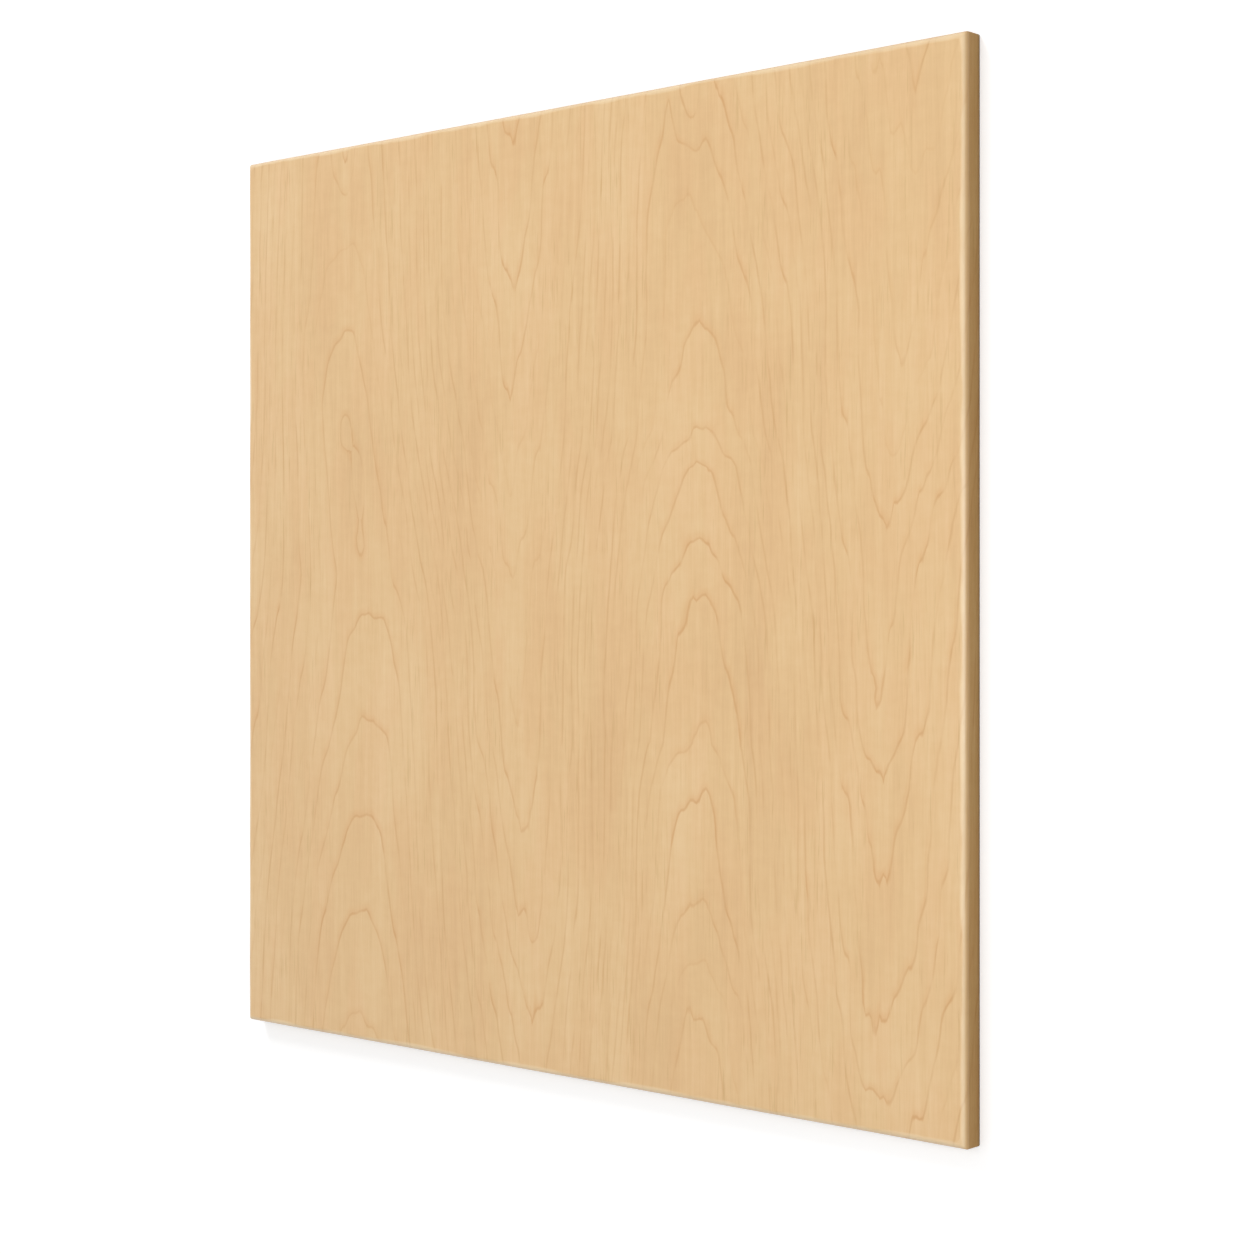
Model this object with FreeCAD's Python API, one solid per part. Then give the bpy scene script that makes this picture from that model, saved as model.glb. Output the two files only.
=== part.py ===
"""Square aluminium composite panel: a folded face sheet, a core and a back sheet.

The panel lies on its back. Z = 0 is the back, +Z points out of the decorated face, +Y runs along the
wood grain of the decor and +X runs across it. The origin is the middle of the back. All sizes are in
millimetres.

The face sheet is folded down on all four sides, so that it makes a shallow tray. The core is bonded
into that tray, and the back sheet closes it, flush with the ends of the four returns.
"""

import os

import FreeCAD
import Part

# Overall size of the face.
PANEL_WIDTH = 600.0  # X, across the grain
PANEL_LENGTH = 600.0  # Y, along the grain

# Stock that the panel is laid up from. The three add up to the panel's thickness.
FACE_GAUGE = 0.8
CORE_THICKNESS = 12.0
BACK_GAUGE = 0.7

# Folded edge of the face sheet.
FOLD_INNER_RADIUS = 2.6
CORNER_SEAM = 0.3  # open joint where two returns meet at a corner

# Clearances between the returns and what is bonded in behind the face.
CORE_CLEARANCE = 0.5
BACK_CLEARANCE = 0.3

# Places and sizes that follow.
PANEL_THICKNESS = BACK_GAUGE + CORE_THICKNESS + FACE_GAUGE
CORE_BOTTOM = BACK_GAUGE
CORE_TOP = CORE_BOTTOM + CORE_THICKNESS
FOLD_OUTER_RADIUS = FOLD_INNER_RADIUS + FACE_GAUGE
RETURN_TOP = PANEL_THICKNESS - FOLD_OUTER_RADIUS  # where a return's flat ends and its fold begins
POCKET_WIDTH = PANEL_WIDTH - 2 * FACE_GAUGE
POCKET_LENGTH = PANEL_LENGTH - 2 * FACE_GAUGE

PARTS_FOLDER = "parts"
SAME_HEIGHT = 1e-6


def centred_block(width, length, bottom, top):
    """A box centred on the Z axis, from one height to another."""
    corner = FreeCAD.Vector(-width / 2, -length / 2, bottom)
    return Part.makeBox(width, length, top - bottom, corner)


def round_top_edges(block, radius):
    """The block with the four edges round its top rounded, and mitred where they meet."""
    top = block.BoundBox.ZMax
    rim = [edge for edge in block.Edges if all(abs(v.Z - top) < SAME_HEIGHT for v in edge.Vertexes)]
    return block.makeFillet(radius, rim)


def corner_seams():
    """The slits between neighbouring returns, one on each upright corner, below the folds."""
    reach = 2 * FACE_GAUGE  # far enough to pass through a corner on its diagonal
    slits = []
    for side_x in (-1, 1):
        for side_y in (-1, 1):
            start = FreeCAD.Vector(-reach, -CORNER_SEAM / 2, 0)
            slit = Part.makeBox(2 * reach, CORNER_SEAM, RETURN_TOP, start)
            slit.rotate(FreeCAD.Vector(0, 0, 0), FreeCAD.Vector(0, 0, 1), 45 * side_x * side_y)
            slit.translate(FreeCAD.Vector(side_x * PANEL_WIDTH / 2, side_y * PANEL_LENGTH / 2, 0))
            slits.append(slit)
    return slits


def make_face_sheet():
    """One sheet folded down on four sides: a rounded block less the pocket behind it."""
    outside = centred_block(PANEL_WIDTH, PANEL_LENGTH, 0, PANEL_THICKNESS)
    pocket = centred_block(POCKET_WIDTH, POCKET_LENGTH, 0, CORE_TOP)
    tray = round_top_edges(outside, FOLD_OUTER_RADIUS).cut(round_top_edges(pocket, FOLD_INNER_RADIUS))
    return tray.cut(corner_seams())


def make_core():
    """The core block, eased round its top so that it beds into the folds."""
    width = POCKET_WIDTH - 2 * CORE_CLEARANCE
    length = POCKET_LENGTH - 2 * CORE_CLEARANCE
    return round_top_edges(centred_block(width, length, CORE_BOTTOM, CORE_TOP), FOLD_INNER_RADIUS)


def make_back_sheet():
    """The flat sheet that closes the tray between the ends of the returns."""
    width = POCKET_WIDTH - 2 * BACK_CLEARANCE
    length = POCKET_LENGTH - 2 * BACK_CLEARANCE
    return centred_block(width, length, 0, BACK_GAUGE)


def main():
    os.makedirs(PARTS_FOLDER, exist_ok=True)
    pieces = {
        "face_sheet": make_face_sheet(),
        "core": make_core(),
        "back_sheet": make_back_sheet(),
    }
    for node, shape in pieces.items():
        shape.exportStep(os.path.join(PARTS_FOLDER, node + ".step"))
        solids = len(shape.Solids)
        print(f"{node}: {solids} solid, {shape.Volume / 1000:.1f} cm3, valid {shape.isValid()}")


main()
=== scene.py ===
# %% [markdown]
# # A folded aluminium composite panel
#
# The panel is a bonded sandwich that lies on its back. A thin aluminium sheet with a printed maple
# coating is folded down on all four sides, a light core fills the tray that this makes, and a plain
# sheet closes the back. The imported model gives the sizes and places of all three. This lesson adds
# what such a model leaves out: the true surface of the folds, the printed wood figure and the finish
# of every sheet.

import bpy
import numpy as np
from mathutils import Matrix, Vector


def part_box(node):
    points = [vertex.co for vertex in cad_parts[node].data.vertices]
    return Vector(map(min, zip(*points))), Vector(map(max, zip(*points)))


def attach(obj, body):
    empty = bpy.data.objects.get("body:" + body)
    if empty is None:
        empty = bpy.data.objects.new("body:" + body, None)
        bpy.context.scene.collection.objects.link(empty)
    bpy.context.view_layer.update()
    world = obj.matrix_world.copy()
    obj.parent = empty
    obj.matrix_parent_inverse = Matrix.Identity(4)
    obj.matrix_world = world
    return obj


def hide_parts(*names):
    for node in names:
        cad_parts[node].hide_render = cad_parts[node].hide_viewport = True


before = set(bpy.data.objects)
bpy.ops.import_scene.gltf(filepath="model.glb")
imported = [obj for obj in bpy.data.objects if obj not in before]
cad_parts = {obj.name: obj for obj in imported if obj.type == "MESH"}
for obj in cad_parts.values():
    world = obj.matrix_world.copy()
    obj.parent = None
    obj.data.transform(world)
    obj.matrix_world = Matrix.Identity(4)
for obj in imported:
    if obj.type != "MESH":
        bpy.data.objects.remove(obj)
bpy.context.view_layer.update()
MM = 0.001

HALF_WIDTH, HALF_LENGTH, THICKNESS = np.array(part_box("face_sheet")[1])
CORE_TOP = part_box("core")[1][2]
FACE_GAUGE = THICKNESS - CORE_TOP
print(f"panel {2 * HALF_WIDTH:.3f} x {2 * HALF_LENGTH:.3f} x {THICKNESS:.4f} m, sheet {FACE_GAUGE:.4f} m")

# %% [markdown]
# ## Two small tools
#
# Paint and print colours are chosen on a screen, so they are written as screen hex values.
# Shaders work in linear light, and one function turns the first into the second. A material is a
# chain of nodes, and one function adds any node together with its settings and its links, which
# keeps each chain readable from top to bottom.

# %% Colour and node helpers
def linear(hex_colour):
    """Linear red, green, blue and alpha of an sRGB hex colour such as "#e2bd89"."""
    screen = np.array([int(hex_colour[i:i + 2], 16) / 255 for i in (1, 3, 5)])
    light = np.where(screen <= 0.04045, screen / 12.92, ((screen + 0.055) / 1.055) ** 2.4)
    return (*light.tolist(), 1.0)


def add_node(tree, kind, settings=None, inputs=None):
    """Adds a node. settings are its own properties, and inputs gives each socket a value or a link."""
    new = tree.nodes.new(kind)
    for name, value in (settings or {}).items():
        setattr(new, name, value)
    for socket, value in (inputs or {}).items():
        if isinstance(value, bpy.types.NodeSocket):
            tree.links.new(value, new.inputs[socket])
        else:
            new.inputs[socket].default_value = value
    return new


def new_material(name):
    """An empty node material, with its tree and its output node."""
    material = bpy.data.materials.new(name)
    material.use_nodes = True
    material.node_tree.nodes.clear()
    output = add_node(material.node_tree, "ShaderNodeOutputMaterial")
    return material, material.node_tree, output


print("a maple tan in linear light:", [round(c, 3) for c in linear("#e2bd89")])

# %% [markdown]
# ## The folded sheet as one surface
#
# A press brake folds the four sides of the sheet down over a small radius. That could be a box with
# bevelled edges, but the fold is what catches the light, so its profile matters: it is flat, then a
# quarter circle, then a straight return. Here a grid of lines is drawn over the unfolded sheet and
# every line is given a level. Level 0 lies on the flat face, and the higher levels go round the fold
# and down the return. A hand-set fold is never perfectly even, so its radius drifts a little along
# each side. The position of every point is then one formula on whole arrays.

# %% Lines of the grid
FOLD_RADIUS = 3.4 * MM  # outside of the fold
RADIUS_DRIFT = 0.35 * MM
FLAT_INSET = 6.0 * MM  # from the wall to where the close lines start
CORNER_RADIUS = 1.2 * MM  # the eased corner between two returns
ARC_STEPS = 10
RETURN_STEPS = 4
LEVELS = 1 + ARC_STEPS + RETURN_STEPS
ACROSS_STEP = 2.4 * MM
ALONG_STEP = 6.0 * MM


def grid_lines(half_size, step):
    """Plan position and level of each line, from one side to the other: close lines, face, close lines."""
    flat_half = half_size - FLAT_INSET
    face = np.linspace(-flat_half, flat_half, int(round(2 * flat_half / step)) + 1)
    rising = np.arange(LEVELS, 0, -1)
    place = np.concatenate([np.full(LEVELS, -flat_half), face, np.full(LEVELS, flat_half)])
    level = np.concatenate([-rising, np.zeros(len(face), int), rising[::-1]])
    return place, level


across_place, across_level = grid_lines(HALF_WIDTH, ACROSS_STEP)
along_place, along_level = grid_lines(HALF_LENGTH, ALONG_STEP)
print(f"grid of {len(across_place)} x {len(along_place)} points")


# %% Profile of the fold
# Waves in the fold's radius: size, radians for each metre of X and of Y, and radians at the start.
FOLD_WAVES = [(1.0, 31, 23, 0.4), (0.7, -17, 57, 2.1), (0.5, 83, -71, 4.4)]
WAVES_AT_MOST = sum(size for size, *_ in FOLD_WAVES)


def fold_radius(x, y):
    """The fold's radius near a plan point: the set radius plus a slow sum of three sine waves."""
    wave = sum(size * np.sin(per_x * x + per_y * y + start) for size, per_x, per_y, start in FOLD_WAVES)
    return FOLD_RADIUS + RADIUS_DRIFT * wave / WAVES_AT_MOST


def fold_profile(level, radius, height):
    """How far a level stands out from the flat, how far it drops, and its distance along the sheet.

    Level 1 is where the flat ends. The next levels are equal steps of a quarter circle of that
    radius, and the last ones are equal steps down the straight return to the full height.
    """
    flat = FLAT_INSET - radius
    turn = np.clip((level - 1) / ARC_STEPS, 0, 1) * np.pi / 2
    down = np.clip((level - 1 - ARC_STEPS) / RETURN_STEPS, 0, 1) * (height - radius)
    on_flat = np.clip(level, 0, 1) * flat
    out = on_flat + radius * np.sin(turn)
    drop = radius * (1 - np.cos(turn)) + down
    reach = on_flat + radius * turn + down
    return out, drop, reach


sample_out, sample_drop, _ = fold_profile(np.arange(LEVELS + 1), FOLD_RADIUS, THICKNESS)
print("fold profile, mm out and down:")
print(np.round(np.stack([sample_out, sample_drop]) / MM, 2))

# %% [markdown]
# ## Corners and their seams
#
# The blank has a notch cut out of each corner, so that two returns can come together. On the face
# the folds meet in a soft mitre, and below it the two returns leave a hair-wide seam. The grid has a
# square patch of lines at each corner. Each ring of that patch is spread round a small quarter
# circle, and the points next to the middle of the circle are pushed in below the fold, which cuts
# the seam.

# %% Surface of the folded sheet
SEAM_HALF_WIDTH = 0.15 * MM
SEAM_DEPTH = 0.45 * MM
EIGHTH_TURN = np.pi / 4


def folded_surface(offset, seam_depth):
    """Points of the folded sheet, offset inwards by that much, with their distance along the sheet.

    On a side, a point is its plan place plus the profile's way out along that side's normal. In a
    corner patch, the outline of one level is a small quarter circle, and a point's angle on it is
    an eighth of a turn times the ratio of its two levels, mirrored about the diagonal.
    """
    x, y = np.meshgrid(across_place, along_place, indexing="ij")
    level_x, level_y = np.meshgrid(across_level, along_level, indexing="ij")
    side_x, side_y = np.sign(level_x), np.sign(level_y)
    level_x, level_y = np.abs(level_x), np.abs(level_y)
    level = np.maximum(level_x, level_y)
    radius = fold_radius(x, y) - offset
    out, drop, reach = fold_profile(level, radius, THICKNESS - offset)
    out = out - np.clip(level, 0, 1) * offset

    corner = (level_x > 0) & (level_y > 0)
    share = np.minimum(level_x, level_y) / np.maximum(level, 1)
    angle = np.where(level_x >= level_y, share * EIGHTH_TURN, np.pi / 2 - share * EIGHTH_TURN)
    ease = CORNER_RADIUS - offset
    below_fold = level > ARC_STEPS
    from_seam = np.abs(angle - EIGHTH_TURN) * ease
    groove = np.clip(1 - from_seam / SEAM_HALF_WIDTH, 0, 1) * below_fold * seam_depth
    push_x = np.where(corner, out - ease + (ease - groove) * np.cos(angle), out * (level_x > 0))
    push_y = np.where(corner, out - ease + (ease - groove) * np.sin(angle), out * (level_y > 0))
    points = np.stack([x + side_x * push_x, y + side_y * push_y, THICKNESS - offset - drop], axis=-1)
    return points, reach


outer_points, outer_reach = folded_surface(0.0, SEAM_DEPTH)
inner_points, _ = folded_surface(FACE_GAUGE, 0.0)
print("outer skin reaches", np.round(outer_points.max(axis=(0, 1)) / MM, 3), "mm")

# %% [markdown]
# ## The printed sheet, unfolded
#
# The wood figure is printed on the flat coil before the sheet is folded, so it runs over the fold
# and down the return without a break. That is what unfolded coordinates give: on a return, the
# distance along the sheet takes the place of the plan coordinate. They go into a UV map, in metres,
# so that every pattern below can be scaled straight from millimetres.


# %% Faces and unfolded coordinates
outer_numbers = np.arange(outer_reach.size).reshape(outer_reach.shape)
inner_numbers = outer_numbers + outer_reach.size


def grid_faces(numbers, outward):
    """Four corner numbers of every cell of a grid, wound to face up, or down where not outward."""
    low, right = numbers[:-1, :-1], numbers[1:, :-1]
    far, left = numbers[1:, 1:], numbers[:-1, 1:]
    order = (low, right, far, left) if outward else (low, left, far, right)
    return np.stack(order, axis=-1).reshape(-1, 4)


def edge_ring(numbers):
    """Point numbers round the edge of a grid, anticlockwise from above, without a repeat."""
    return np.concatenate([numbers[:-1, 0], numbers[-1, :-1], numbers[:0:-1, -1], numbers[0, :0:-1]])


def unfolded_coordinates():
    """Place on the flat blank of each corner of each outer cell.

    A cell belongs to the side whose level is higher. There, its coordinate away from the face is
    the flat's half size plus the distance along the sheet, and the other one is its true place.
    """
    cell_x = np.maximum(np.abs(across_level[:-1]), np.abs(across_level[1:]))[:, None]
    cell_y = np.maximum(np.abs(along_level[:-1]), np.abs(along_level[1:]))[None, :]
    on_x_side = ((cell_x >= cell_y) & (cell_x > 0)).reshape(-1, 1)
    on_y_side = (cell_y > cell_x).reshape(-1, 1)
    corners = grid_faces(outer_numbers, True)
    place = outer_points.reshape(-1, 3)[corners]
    reach = outer_reach.reshape(-1)[corners]
    away_x = np.sign(place[..., 0]) * (HALF_WIDTH - FLAT_INSET + reach)
    away_y = np.sign(place[..., 1]) * (HALF_LENGTH - FLAT_INSET + reach)
    across = np.where(on_x_side, away_x, place[..., 0])
    along = np.where(on_y_side, away_y, place[..., 1])
    return np.stack([across, along], axis=-1).reshape(-1, 2)


def turn_shares():
    """How far round the edge each corner of each outer cell is.

    It is -1 on the face, 0 where the fold starts, 1 where it ends and 2 at the cut end of the return.
    """
    level_x, level_y = np.meshgrid(np.abs(across_level), np.abs(along_level), indexing="ij")
    level = np.maximum(level_x, level_y) - 1
    share = np.clip(level, -1, 0) + np.clip(level / ARC_STEPS, 0, 1)
    share = share + np.clip((level - ARC_STEPS) / RETURN_STEPS, 0, 1)
    return share.reshape(-1)[grid_faces(outer_numbers, True)].reshape(-1)


outer_ring, inner_ring = edge_ring(outer_numbers), edge_ring(inner_numbers)
outer_faces = grid_faces(outer_numbers, True)
inner_faces = grid_faces(inner_numbers, False)
rim_faces = np.stack([outer_ring, inner_ring, np.roll(inner_ring, -1), np.roll(outer_ring, -1)], axis=-1)
sheet_coordinates = unfolded_coordinates()
sheet_turns = turn_shares()
print(f"{len(outer_faces)} outer, {len(inner_faces)} inner and {len(rim_faces)} rim faces")

# %% [markdown]
# ## The wood figure
#
# Maple veneer is peeled from a log that is never quite round, so the knife runs in and out of the
# growth rings. Seen from above, the rings are then the contour lines of a wavy, slanting surface:
# arches over its ridges, pointed tongues in its valleys and nearly straight lines on the slopes.
# A wave texture can't draw that. Here the surface is worked out as a height in rings. Each ridge and
# valley has its own list of the depths at which the next ring crests, which sets how its arches are
# spaced, and the height between two of them is blended with a soft step.

# %% Seeded smooth noise
LATTICE_SIZE = 64


def smooth_noise(across, along, cell_across, cell_along, seed):
    """Smooth random heights from -1 to 1.

    A lattice of seeded random values, with cells of the given size, is blended between its four
    nearest values with the soft step 3t squared minus 2t cubed.
    """
    lattice = np.random.default_rng(seed).uniform(-1, 1, (LATTICE_SIZE, LATTICE_SIZE))
    s, t = across / cell_across, along / cell_along
    i, j = np.floor(s).astype(int), np.floor(t).astype(int)
    s, t = s - i, t - j
    s, t = s * s * (3 - 2 * s), t * t * (3 - 2 * t)
    i0, i1 = i % LATTICE_SIZE, (i + 1) % LATTICE_SIZE
    j0, j1 = j % LATTICE_SIZE, (j + 1) % LATTICE_SIZE
    low = lattice[i0, j0] * (1 - s) + lattice[i1, j0] * s
    high = lattice[i0, j1] * (1 - s) + lattice[i1, j1] * s
    return low * (1 - t) + high * t


# %% Ridges and valleys of the figure
# From left to right. Each has its course down the sheet, as depths below the top edge and places
# across, the depths at which whole rings crest on it, with their numbers, and how jagged it is. All
# are in mm, listed one by one as a pattern drawer does.
COLUMNS = [
    {
        "kind": "valley", "course": ([0, 600], [-345, -330]), "jag": 0.6,
        "depths": [-60, 10, 75, 140, 205, 270, 330, 395, 460, 520, 585, 650],
        "rings": list(range(-13, -1)),
    },
    {
        "kind": "ridge", "course": ([60, 130, 320, 520], [-198, -196, -173, -176]), "jag": 0.35,
        "depths": [-110, -60, 67, 127, 172, 290, 318, 390, 455, 517, 580, 640],
        "rings": [-1, 0, 1, 2, 2.6, 2.5, 3, 4, 5, 6, 7, 8],
    },
    {
        "kind": "valley", "course": ([100, 600], [-42, -28]), "jag": 1.0,
        "depths": [-40, 35, 108, 171, 235, 291, 387, 441, 515, 560, 620, 680],
        "rings": list(range(-15, -3)),
    },
    {
        "kind": "ridge", "course": ([30, 140, 600], [98, 110, 112]), "jag": 0.8,
        "depths": [-50, 10, 72, 146, 208, 227, 275, 308, 390, 417, 485, 520, 549, 610, 670],
        "rings": list(range(-1, 14)),
    },
    {
        "kind": "valley", "course": ([60, 250, 600], [268, 246, 242]), "jag": 1.3,
        "depths": [-30, 28, 86, 170, 222, 264, 363, 399, 465, 550, 585, 640],
        "rings": list(range(-13, -1)),
    },
    {
        "kind": "ridge", "course": ([0, 600], [395, 405]), "jag": 0.6,
        "depths": [-60, 0, 60, 125, 190, 250, 310, 375, 440, 500, 560, 630],
        "rings": list(range(-3, 9)),
    },
]


def crest_height(depth, column):
    """Height in rings down the middle of a ridge or valley, along straight lines between its crests."""
    return np.interp(depth, column["depths"], column["rings"])


# %% Height in rings
# A valley's rings end in a point: over how many mm it is drawn out, and how blunt its tip is.
POINT_REACH = 13.0
TIP_RADIUS = 8.0
# Noise that bends the figure: mm of bend or rings of height, cell across and along in mm, and seed.
BENDS = [(8.0, 160, 170, 11), (2.0, 30, 90, 12), (1.6, 6, 320, 16)]
SWELLS = [(0.2, 34, 150, 13), (0.08, 15, 70, 17)]
JAGS = [(0.2, 7, 42, 14), (0.08, 3.2, 16, 15)]
# Eyes, where the knife grazed a bump: place across, depth, half sizes in mm, and height in rings.
EYES = [
    (-199, 2, 9, 32, -1.5),
    (-193, 193, 8, 14, 0.7),
    (-181, 228, 7, 24, 0.95),
    (-194, 236, 5, 17, -0.5),
    (-184, 268, 9, 15, 0.55),
    (108, 4, 10, 32, -1.5),
]


def noise_sum(across, depth, layers):
    """The sum of some layers of smooth noise, each with its amount, cell size and seed."""
    return sum(amount * smooth_noise(across, depth, *cell) for amount, *cell in layers)


def ring_height(across, depth):
    """Height of the growth-ring surface, in rings, at places in mm.

    A ridge or valley has its own height down the sheet. Between two of them the height goes from
    one to the other by the mean of two soft steps, half of 1 - cos(pi t) and 10t^3 - 15t^4 + 6t^5.
    A valley sinks by one more ring to its middle, by a falling exponential, which draws its rings
    to a point. Eyes are bell-shaped bumps. Noise drawn out along the grain bends the rings and adds
    the zigzags of the crests.
    """
    place = across + noise_sum(across, depth, BENDS)
    middles = [np.interp(depth, *column["course"]) for column in COLUMNS]
    height = crest_height(depth, COLUMNS[0])
    jag = np.full_like(height, COLUMNS[0]["jag"])
    for left, right, column in zip(middles, middles[1:], COLUMNS[1:]):
        t = np.clip((place - left) / (right - left), 0, 1)
        step = (1 - np.cos(np.pi * t)) / 4 + t ** 3 * (10 - 15 * t + 6 * t ** 2) / 2
        height = height * (1 - step) + crest_height(depth, column) * step
        jag = jag * (1 - step) + column["jag"] * step
    for middle, column in zip(middles, COLUMNS):
        if column["kind"] == "valley":
            from_tip = np.hypot(place - middle, TIP_RADIUS) - TIP_RADIUS
            height = height - np.exp(-from_tip / POINT_REACH)
    for eye_across, eye_depth, half_across, half_along, bump in EYES:
        far = ((place - eye_across) / half_across) ** 2 + ((depth - eye_depth) / half_along) ** 2
        height = height + bump * np.exp(-far)
    height = height + noise_sum(across, depth, SWELLS)
    return height + jag * noise_sum(across, depth, JAGS)


# %% The figure at every corner
SLOPE_STEP = 0.6  # mm, for measuring the surface's slope
LEAST_SLOPE = 0.011  # rings per mm, so that a flat spot gives a broad soft patch and not a blot


def ring_figure(coordinates, turns):
    """Height in rings, mm for each ring and the turn round the fold, at places on the flat blank."""
    across, depth = coordinates[:, 0] / MM, (HALF_LENGTH - coordinates[:, 1]) / MM
    height = ring_height(across, depth)
    slope_x = (ring_height(across + SLOPE_STEP, depth) - height) / SLOPE_STEP
    slope_y = (ring_height(across, depth + SLOPE_STEP) - height) / SLOPE_STEP
    slope = np.sqrt(slope_x ** 2 + slope_y ** 2 + LEAST_SLOPE ** 2)
    return np.stack([height, 1 / slope, turns], axis=-1)


sheet_figure = ring_figure(sheet_coordinates, sheet_turns)
print(f"ring height runs from {sheet_figure[:, 0].min():.1f} to {sheet_figure[:, 0].max():.1f}")

# %% [markdown]
# ## The sheet as a mesh
#
# The outer skin carries the print. The inner skin is the same surface one sheet thickness further
# in, and a rim of cut metal joins the two at the ends of the returns, so the mesh is closed.


# %% Build the mesh
FACE_COAT, RETURN_COAT, BARE_METAL = range(3)  # the sheet's material slots
NO_FIGURE = [0.25, 1.0, 0.0]  # ring height, mm for each ring and turn where no print is seen


def build_face_sheet():
    """The face sheet's mesh object: outer skin, inner skin and the cut rim between them."""
    points = np.concatenate([outer_points.reshape(-1, 3), inner_points.reshape(-1, 3)])
    faces = np.concatenate([outer_faces, inner_faces, rim_faces])
    mesh = bpy.data.meshes.new("folded_face_sheet")
    mesh.vertices.add(len(points))
    mesh.vertices.foreach_set("co", points.ravel())
    mesh.loops.add(faces.size)
    mesh.loops.foreach_set("vertex_index", faces.ravel())
    mesh.polygons.add(len(faces))
    mesh.polygons.foreach_set("loop_start", np.arange(0, faces.size, 4))
    mesh.polygons.foreach_set("loop_total", np.full(len(faces), 4))
    mesh.update(calc_edges=True)
    smooth = np.ones(len(faces), bool)
    smooth[len(outer_faces) + len(inner_faces):] = False
    mesh.polygons.foreach_set("use_smooth", smooth)
    finish = np.full(len(faces), BARE_METAL)
    finish[:len(outer_faces)] = np.where(sheet_turns.reshape(-1, 4).min(axis=1) < 1, FACE_COAT, RETURN_COAT)
    mesh.polygons.foreach_set("material_index", finish)

    hidden = points[faces[len(outer_faces):].ravel(), :2]
    unfolded = mesh.uv_layers.new(name="unfolded")
    unfolded.data.foreach_set("uv", np.concatenate([sheet_coordinates, hidden]).ravel())
    figure = mesh.attributes.new("ring_figure", "FLOAT_VECTOR", "CORNER")
    unprinted = np.tile(NO_FIGURE, (len(hidden), 1))
    figure.data.foreach_set("vector", np.concatenate([sheet_figure, unprinted]).ravel())
    mesh.validate()
    sheet = bpy.data.objects.new("folded_face_sheet", mesh)
    bpy.context.scene.collection.objects.link(sheet)
    return sheet


face_sheet = build_face_sheet()
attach(face_sheet, "root")
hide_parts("face_sheet")
print(f"face sheet: {len(face_sheet.data.polygons)} faces, {len(face_sheet.data.vertices)} points")

# %% [markdown]
# ## Coil-coated aluminium with a maple print
#
# The sheet is primed, printed with a light maple figure and covered with a clear, semi-gloss
# polyester coat. The eye sees pale tan wood with thin brown ring lines, fine lengthwise fibres and a
# soft sheen that turns bright on the folds. An image could give the figure, but lines worked out
# from the ring height stay sharp at any distance, so the print is built from nodes. Under the lines
# the tan drifts a little, with a rosy flush in places. Two things are painted at the edge of the sheet,
# on all four sides alike: a painted highlight, paler in uneven lengths, on the first part of the fold,
# and further round, where the returns are matt, a painted shade that darkens the print.

# %% Patterns on the flat blank
LINE_HALF_WIDTH = 1.2  # mm, from the middle of a ring line to where it fades out
SHADE_REACH = 5.0  # mm of soft shade on one side of a ring line
CLOSE_RINGS, WIDE_RINGS = 6.0, 24.0  # mm for each ring on a steep slope and on a broad crest
PATTERN_CELLS = {  # mm across and along the grain
    "fibre": (1.35, 26.0),
    "stroke": (1.3, 30.0),
    "streak": (5.0, 190.0),
    "drift": (60.0, 150.0),
    "flush": (30.0, 90.0),
    "curl": (12.0, 7.0),
    "fade": (12.0, 42.0),
    "cluster": (14.0, 70.0),
    "edge": (2.0, 60.0),
    "peel": (1.6, 1.6),
    # cells of the uneven painted highlight on the fold
    "stretch": (50.0, 60.0),
}


def pattern(tree, sheet_map, name, detail=2.0):
    """Noise on the flat blank, with cells of the size that PATTERN_CELLS gives in mm."""
    across, along = PATTERN_CELLS[name]
    scaled = add_node(tree, "ShaderNodeMapping", None, {
        "Vector": sheet_map.outputs["UV"],
        "Location": (len(name), across, 0),
        "Scale": (1 / (across * MM), 1 / (along * MM), 1),
    })
    noise = add_node(tree, "ShaderNodeTexNoise", {"noise_dimensions": "2D"}, {
        "Vector": scaled.outputs["Vector"], "Scale": 1.0, "Detail": detail, "Roughness": 0.55,
    })
    return noise.outputs["Fac"]


def remapped(tree, value, low, high, to_low, to_high):
    """A value carried by a soft step from one range to another."""
    return add_node(tree, "ShaderNodeMapRange", {"interpolation_type": "SMOOTHSTEP"}, {
        "Value": value, "From Min": low, "From Max": high, "To Min": to_low, "To Max": to_high,
    }).outputs[0]


def product(tree, *factors):
    """The product of some values."""
    result = factors[0]
    for factor in factors[1:]:
        times = add_node(tree, "ShaderNodeMath", {"operation": "MULTIPLY"}, {0: result, 1: factor})
        result = times.outputs[0]
    return result


print("pattern cells in mm:", PATTERN_CELLS)


# %% Ring lines
RING_SEED = 2534.0  # which draw of ring strengths is used


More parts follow.
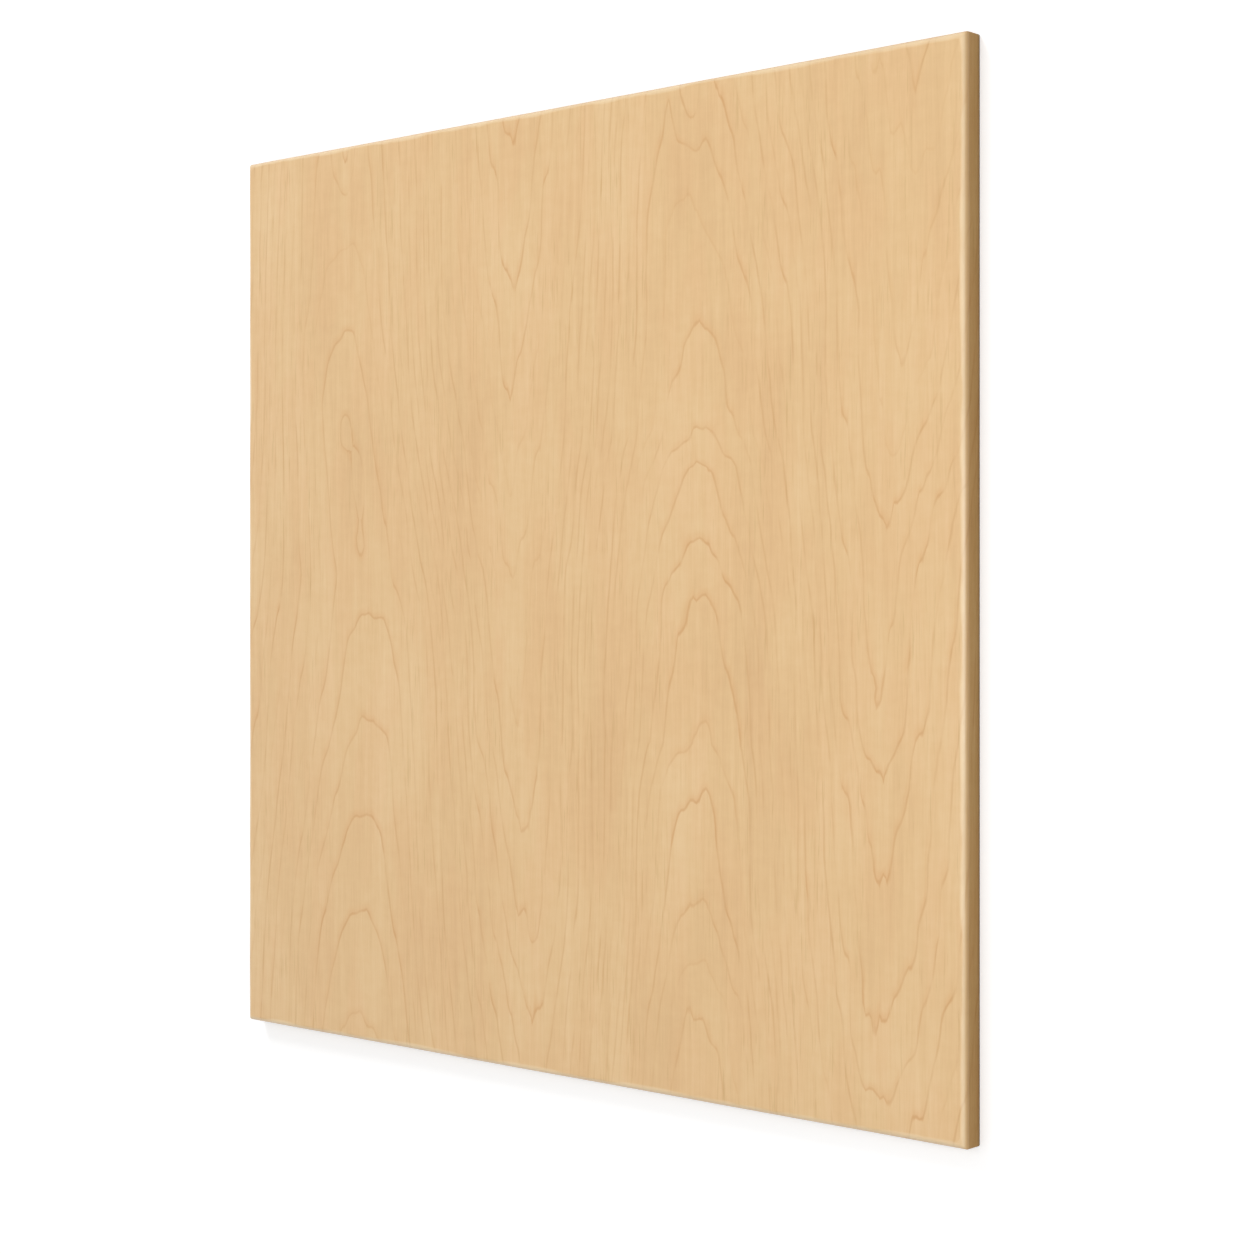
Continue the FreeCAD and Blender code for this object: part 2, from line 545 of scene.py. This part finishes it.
def ring_ink(tree, sheet_map, height, mm_per_ring):
    """How much line ink and how much soft shade the growth rings leave, and where the wide crests are.

    The distance to the nearest whole ring, in mm, is the height's distance to its nearest whole
    number times the mm for each ring. Every ring has a strength of its own. Lines run on over the
    wide crests, and are faint and broken where they crowd together on the slopes.
    """
    ring = add_node(tree, "ShaderNodeMath", {"operation": "ROUND"}, {0: height})
    past = add_node(tree, "ShaderNodeMath", {"operation": "SUBTRACT"}, {0: height, 1: ring.outputs[0]})
    gone = product(tree, past.outputs[0], mm_per_ring)
    away = add_node(tree, "ShaderNodeMath", {"operation": "ABSOLUTE"}, {0: gone}).outputs[0]
    line = remapped(tree, away, 0.0, LINE_HALF_WIDTH, 1.0, 0.0)
    before = remapped(tree, gone, -SHADE_REACH, 0.0, 0.0, 1.0)
    after = remapped(tree, gone, 0.0, LINE_HALF_WIDTH, 1.0, 0.0)

    seeded = add_node(tree, "ShaderNodeMath", {"operation": "ADD"}, {0: ring.outputs[0], 1: RING_SEED})
    chance = add_node(tree, "ShaderNodeTexWhiteNoise", {"noise_dimensions": "1D"}, {"W": seeded.outputs[0]})
    squared = product(tree, chance.outputs["Value"], chance.outputs["Value"])
    own_strength = remapped(tree, squared, 0.0, 1.0, 0.25, 1.0)
    crest = remapped(tree, mm_per_ring, CLOSE_RINGS, WIDE_RINGS, 0.0, 1.0)
    fade = pattern(tree, sheet_map, "fade")
    broken = remapped(tree, fade, 0.36, 0.64, 0.08, 0.75)
    steady = remapped(tree, fade, 0.3, 0.6, 0.6, 1.0)
    run = add_node(tree, "ShaderNodeMix", {"data_type": "FLOAT"}, {0: crest, 2: broken, 3: steady})
    strength = product(tree, own_strength, run.outputs[0])
    return product(tree, line, strength), product(tree, before, after, strength, crest), crest


# %% Wood tone
# Each pattern of the tone, with its weight and its noise detail.
TONE_LAYERS = [("drift", 0.36, 2.0), ("streak", 0.26, 3.0), ("fibre", 0.18, 2.0), ("curl", 0.13, 2.0)]
DARK_TAN, MIDDLE_TAN, PALE_TAN = "#d5ac79", "#e2bd89", "#eccc9d"


def wood_tone(tree, sheet_map):
    """The wood between the lines: a weighted sum of patterns, drawn through a ramp of pale tans."""
    tone = 0.5
    for name, weight, detail in TONE_LAYERS:
        centred = add_node(tree, "ShaderNodeMath", {"operation": "SUBTRACT"}, {
            0: pattern(tree, sheet_map, name, detail), 1: 0.5,
        })
        tone = add_node(tree, "ShaderNodeMath", {"operation": "MULTIPLY_ADD"}, {
            0: centred.outputs[0], 1: weight, 2: tone,
        }).outputs[0]
    wood = add_node(tree, "ShaderNodeValToRGB", None, {"Fac": tone})
    ramp = wood.color_ramp
    ramp.elements[0].position, ramp.elements[0].color = 0.2, linear(DARK_TAN)
    ramp.elements[1].position, ramp.elements[1].color = 0.8, linear(PALE_TAN)
    ramp.elements.new(0.5).color = linear(MIDDLE_TAN)
    return wood.outputs["Color"]


def tinted(tree, amount, ground, tint, blend="MIX"):
    """The ground colour with a tint mixed or multiplied in by an amount."""
    return add_node(tree, "ShaderNodeMix", {"data_type": "RGBA", "blend_type": blend}, {
        0: amount, 6: ground, 7: linear(tint),
    }).outputs[2]


# %% Maple print
SHADE_STRENGTH = 0.34
LINE_STRENGTH = 0.45
PAINT_IOR = 1.5
CLEAR_COAT_ROUGHNESS = 0.14  # semi-gloss
PEEL_HEIGHT = 0.02 * MM  # the faint orange peel of a roller-coated film


def maple_print(name, roughness, specular, coat):
    """The printed coat. Its gloss is given, because the returns are matt and the face is not."""
    material, tree, output = new_material(name)
    sheet_map = add_node(tree, "ShaderNodeUVMap", {"uv_map": "unfolded"})
    figure = add_node(tree, "ShaderNodeAttribute", {"attribute_name": "ring_figure"})
    parts = add_node(tree, "ShaderNodeSeparateXYZ", None, {0: figure.outputs["Vector"]})
    turn = parts.outputs["Z"]

    line, shade, crest = ring_ink(tree, sheet_map, parts.outputs["X"], parts.outputs["Y"])
    stroke = product(
        tree,
        remapped(tree, pattern(tree, sheet_map, "stroke"), 0.56, 0.74, 0.0, 0.3),
        remapped(tree, pattern(tree, sheet_map, "cluster"), 0.42, 0.62, 0.1, 1.0),
        remapped(tree, crest, 0.0, 1.0, 1.0, 0.35),
    )

    # Rosy patches first, then the soft shade beside the rings, short pores and the ring lines.
    colour = wood_tone(tree, sheet_map)
    flush = remapped(tree, pattern(tree, sheet_map, "flush"), 0.4, 0.62, 0.0, 0.3)
    colour = tinted(tree, flush, colour, "#fff6f4", "MULTIPLY")
    colour = tinted(tree, product(tree, shade, SHADE_STRENGTH), colour, "#d49a5c")
    colour = tinted(tree, stroke, colour, "#bc9250")
    colour = tinted(tree, product(tree, line, LINE_STRENGTH), colour, "#c38b4b")

    # The first part of the fold is painted paler, from an uneven start: a painted highlight.
    uneven = pattern(tree, sheet_map, "stretch")
    start = remapped(tree, uneven, 0.35, 0.65, 0.1, -0.5)
    painted_fold_highlight = product(
        tree,
        remapped(tree, uneven, 0.35, 0.65, 0.38, 0.58),
        remapped(tree, turn, start, 0.35, 0.0, 1.0),
        remapped(tree, turn, 0.35, 0.6, 1.0, 0.0),
    )
    colour = tinted(tree, painted_fold_highlight, colour, "#f6dfb8")

    # Then further round, the colour is painted darker as painted shade, and darker still towards the cut
    # end, in lengthwise streaks, also painted shade.
    colour = tinted(tree, remapped(tree, turn, 0.45, 0.85, 0.0, 1.0), colour, "#e7dcc4", "MULTIPLY")
    painted_shade_at_cut_end = product(tree, remapped(tree, turn, 1.1, 1.7, 0.0, 1.0),
                     remapped(tree, pattern(tree, sheet_map, "edge"), 0.35, 0.65, 0.2, 1.0))
    colour = tinted(tree, painted_shade_at_cut_end, colour, "#f4efe4", "MULTIPLY")

    peel = add_node(tree, "ShaderNodeBump", None, {
        "Height": pattern(tree, sheet_map, "peel"), "Strength": 0.25, "Distance": PEEL_HEIGHT,
    })
    shader = add_node(tree, "ShaderNodeBsdfPrincipled", None, {
        "Base Color": colour, "Roughness": roughness, "IOR": PAINT_IOR, "Specular IOR Level": specular,
        "Coat Weight": coat, "Coat Roughness": CLEAR_COAT_ROUGHNESS, "Normal": peel.outputs[0],
    })
    tree.links.new(shader.outputs[0], output.inputs["Surface"])
    return material


# %% [markdown]
# ## Bare and service-coated metal
#
# The cut ends of the returns are bare mill-finish aluminium, grey and slightly brushed by the
# shear. The back sheet carries only a thin service coat, rolled on to stop corrosion: a flat pale
# grey with faint roller lines. The core is a honeycomb of thin foil.


# %% Bare aluminium, service coat and foil
ROLLER_HEIGHT = 0.02 * MM
FOIL_CELL = 10 * MM  # size of a honeycomb cell


def brushed_noise(tree, across_mm, along_mm, detail):
    """Noise on Object coordinates, with cells of the given size in mm."""
    place = add_node(tree, "ShaderNodeTexCoord")
    scaled = add_node(tree, "ShaderNodeMapping", None, {
        "Vector": place.outputs["Object"],
        "Scale": (1 / (across_mm * MM), 1 / (along_mm * MM), 1 / (across_mm * MM)),
    })
    return add_node(tree, "ShaderNodeTexNoise", None, {
        "Vector": scaled.outputs["Vector"], "Scale": 1.0, "Detail": detail,
    })


def bare_aluminium():
    """Sheared aluminium: a bright grey metal whose fine streaks run across the cut."""
    material, tree, output = new_material("mill_finish_aluminium_sheared")
    streaks = brushed_noise(tree, 0.4, 9.0, 3.0)
    tint = add_node(tree, "ShaderNodeMix", {"data_type": "RGBA"}, {
        0: streaks.outputs["Fac"], 6: linear("#b9babb"), 7: linear("#dcddde"),
    })
    rough = add_node(tree, "ShaderNodeMapRange", None, {
        "Value": streaks.outputs["Fac"], "To Min": 0.28, "To Max": 0.5,
    })
    shader = add_node(tree, "ShaderNodeBsdfPrincipled", None, {
        "Base Color": tint.outputs[2], "Metallic": 1.0, "Roughness": rough.outputs[0],
    })
    tree.links.new(shader.outputs[0], output.inputs["Surface"])
    return material


def service_coat():
    """Rolled polyester: a pale, matt grey with faint roller lines and slow clouds."""
    material, tree, output = new_material("polyester_service_coat_rolled")
    roller = brushed_noise(tree, 1.6, 140.0, 3.0)
    cloud = brushed_noise(tree, 90.0, 160.0, 2.0)
    both = add_node(tree, "ShaderNodeMath", {"operation": "ADD"},
                    {0: roller.outputs["Fac"], 1: cloud.outputs["Fac"]})
    tone = add_node(tree, "ShaderNodeMath", {"operation": "MULTIPLY"}, {0: both.outputs[0], 1: 0.5})
    tint = add_node(tree, "ShaderNodeMix", {"data_type": "RGBA"}, {
        0: tone.outputs[0], 6: linear("#b4b7b5"), 7: linear("#cfd1ce"),
    })
    bump = add_node(tree, "ShaderNodeBump", None, {
        "Height": roller.outputs["Fac"], "Strength": 0.15, "Distance": ROLLER_HEIGHT,
    })
    shader = add_node(tree, "ShaderNodeBsdfPrincipled", None, {
        "Base Color": tint.outputs[2], "Roughness": 0.5, "IOR": PAINT_IOR, "Normal": bump.outputs[0],
    })
    tree.links.new(shader.outputs[0], output.inputs["Surface"])
    return material


def honeycomb_foil():
    """Bare foil: bright cells with darker walls between them."""
    material, tree, output = new_material("aluminium_foil_honeycomb")
    place = add_node(tree, "ShaderNodeTexCoord")
    cells = add_node(tree, "ShaderNodeTexVoronoi", {"feature": "DISTANCE_TO_EDGE"}, {
        "Vector": place.outputs["Object"], "Scale": 1 / FOIL_CELL, "Randomness": 0.3,
    })
    wall = add_node(tree, "ShaderNodeMapRange", None, {
        "Value": cells.outputs["Distance"], "From Max": 0.08,
    })
    tint = add_node(tree, "ShaderNodeMix", {"data_type": "RGBA"}, {
        0: wall.outputs[0], 6: linear("#dddee0"), 7: linear("#8c8e91"),
    })
    shader = add_node(tree, "ShaderNodeBsdfPrincipled", None, {
        "Base Color": tint.outputs[2], "Metallic": 1.0, "Roughness": 0.4,
    })
    tree.links.new(shader.outputs[0], output.inputs["Surface"])
    return material


face_sheet.data.materials.append(maple_print("coil_coated_aluminium_maple_print", 0.36, 0.5, 0.35))
# The matt returns, whose print is painted darker as painted shade.
face_sheet.data.materials.append(maple_print("coil_coated_aluminium_maple_matt_return", 0.6, 0.2, 0.0))
face_sheet.data.materials.append(bare_aluminium())
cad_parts["back_sheet"].material_slots[0].material = service_coat()
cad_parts["core"].material_slots[0].material = honeycomb_foil()
print("materials:", [m.name for m in bpy.data.materials])

# %% [markdown]
# ## Camera
#
# The camera looks at the face from the side of the +X edge, 42 degrees off square, with the grain
# upright in its frame. A panel this flat shows its fold and its return only from such an angle.

# %% Camera
FACE_CENTRE = Vector((0, 0, THICKNESS))
VIEW_ANGLE = np.radians(41.82)
CAMERA_OFFSET = Vector((1.0216, -0.0039, 1.0783))  # metres from the middle of the face
LENS, SENSOR_WIDTH = 68.93, 36.0  # mm
SHIFT_DOWN = 0.0235  # share of the frame
AXIS_OUT = Vector((np.sin(VIEW_ANGLE), 0, np.cos(VIEW_ANGLE)))
camera_data = bpy.data.cameras.new("camera")
camera_data.sensor_width = SENSOR_WIDTH
camera_data.lens = LENS
camera_data.shift_y = -SHIFT_DOWN
camera = bpy.data.objects.new("camera", camera_data)
bpy.context.scene.collection.objects.link(camera)
right = Vector((np.cos(VIEW_ANGLE), 0, -np.sin(VIEW_ANGLE)))
turn = Matrix((right, (0, 1, 0), AXIS_OUT)).transposed().to_4x4()
camera.matrix_world = Matrix.Translation(FACE_CENTRE + CAMERA_OFFSET) @ turn
bpy.context.scene.camera = camera
print(f"camera {CAMERA_OFFSET.length:.2f} m from the face, lens {LENS} mm")

# %% [markdown]
# ## Floor and light
#
# The panel lies on a pale floor. The floor is shaded as plain white paint, with a little glow that
# only the camera and reflections see, so it reads as white and still keeps the panel's shadow. The
# glow rises away from the panel, so that the far floor meets the white background with no edge. Soft
# light comes from a pale sky, a wide softbox overhead, a key softbox past the top edge and a long
# strip to the right, which draws the bright line along the fold. The key isn't mirrored in the
# gloss, because from low angles it would leave a white patch on the face.


# %% Floor
def seen_directly(tree):
    """One where a ray comes from the camera, a reflection or clear glass, and zero elsewhere."""
    ray = add_node(tree, "ShaderNodeLightPath")
    mirror = add_node(tree, "ShaderNodeMath", {"operation": "MAXIMUM"},
                      {0: ray.outputs["Is Glossy Ray"], 1: ray.outputs["Is Transmission Ray"]})
    return add_node(tree, "ShaderNodeMath", {"operation": "MAXIMUM"},
                    {0: ray.outputs["Is Camera Ray"], 1: mirror.outputs[0]}).outputs[0]


FLOOR_HALF = 6.0
FLOOR_LEVEL = -0.2 * MM
GLOW_NEAR, GLOW_FAR = 0.6, 1.9  # metres from the panel's middle between which the glow rises
GLOW_LOW, GLOW_FULL = 0.33, 1.0
floor_mesh = bpy.data.meshes.new("floor")
floor_corners = [(sx * FLOOR_HALF, sy * FLOOR_HALF, FLOOR_LEVEL)
                 for sx, sy in ((-1, -1), (1, -1), (1, 1), (-1, 1))]
floor_mesh.from_pydata(floor_corners, [], [(0, 1, 2, 3)])
floor = bpy.data.objects.new("floor", floor_mesh)
bpy.context.scene.collection.objects.link(floor)

floor_material, floor_tree, floor_output = new_material("floor_white_paint")
seen = seen_directly(floor_tree)
floor_tone = add_node(floor_tree, "ShaderNodeMix", {"data_type": "RGBA"}, {
    0: seen, 6: linear("#9c9c9c"), 7: linear("#ededed"),
})
paint = add_node(floor_tree, "ShaderNodeBsdfDiffuse", None, {"Color": floor_tone.outputs[2]})
glow = add_node(floor_tree, "ShaderNodeEmission", None, {"Color": (1, 1, 1, 1)})
floor_place = add_node(floor_tree, "ShaderNodeTexCoord")
from_panel = add_node(floor_tree, "ShaderNodeVectorMath", {"operation": "LENGTH"}, {
    0: floor_place.outputs["Object"],
})
brighter = remapped(floor_tree, from_panel.outputs["Value"], GLOW_NEAR, GLOW_FAR, GLOW_LOW, GLOW_FULL)
floor_tree.links.new(product(floor_tree, brighter, seen), glow.inputs["Strength"])
both = add_node(floor_tree, "ShaderNodeAddShader", None, {0: paint.outputs[0], 1: glow.outputs[0]})
floor_tree.links.new(both.outputs[0], floor_output.inputs["Surface"])
floor_mesh.materials.append(floor_material)
print(f"floor {2 * FLOOR_HALF:.0f} m across, {-FLOOR_LEVEL / MM:.1f} mm below the panel")

# %% Sky and softboxes
SKY_LIGHT = 0.45  # what lights the panel, while the sky itself is seen as white
world = bpy.data.worlds.new("studio")
bpy.context.scene.world = world
world.use_nodes = True
sky = world.node_tree
sky.nodes.clear()
sky_output = add_node(sky, "ShaderNodeOutputWorld")
sky_level = add_node(sky, "ShaderNodeMapRange", None, {
    "Value": seen_directly(sky), "To Min": SKY_LIGHT, "To Max": 1.0,
})
background = add_node(sky, "ShaderNodeBackground", None, {
    "Color": (1, 1, 1, 1), "Strength": sky_level.outputs[0],
})
sky.links.new(background.outputs[0], sky_output.inputs["Surface"])


def add_softbox(name, direction, distance, width, height, power, mirrored=True):
    """A rectangular soft lamp that far out from the face's centre, turned towards it.

    One that isn't mirrored lights the panel and leaves no bright patch in its gloss.
    """
    data = bpy.data.lights.new(name, "AREA")
    data.shape, data.size, data.size_y, data.energy = "RECTANGLE", width, height, power
    lamp = bpy.data.objects.new(name, data)
    out = Vector(direction).normalized()
    lamp.location = FACE_CENTRE + out * distance
    lamp.rotation_mode = "QUATERNION"
    lamp.rotation_quaternion = out.to_track_quat("Z", "Y")
    lamp.visible_glossy = mirrored
    bpy.context.scene.collection.objects.link(lamp)
    return lamp


# Direction from the face, then distance, width and height in metres, and watts.
add_softbox("key_softbox", (-0.35, 0.75, 0.56), 2.8, 0.9, 0.9, 26.0, mirrored=False)
add_softbox("top_softbox", (0.05, 0.0, 1.0), 2.5, 2.0, 2.0, 15.5)
add_softbox("strip_softbox", (0.72, 0.0, 0.69), 1.6, 0.3, 1.8, 5.7)
bpy.context.scene.view_settings.view_transform = "Standard"
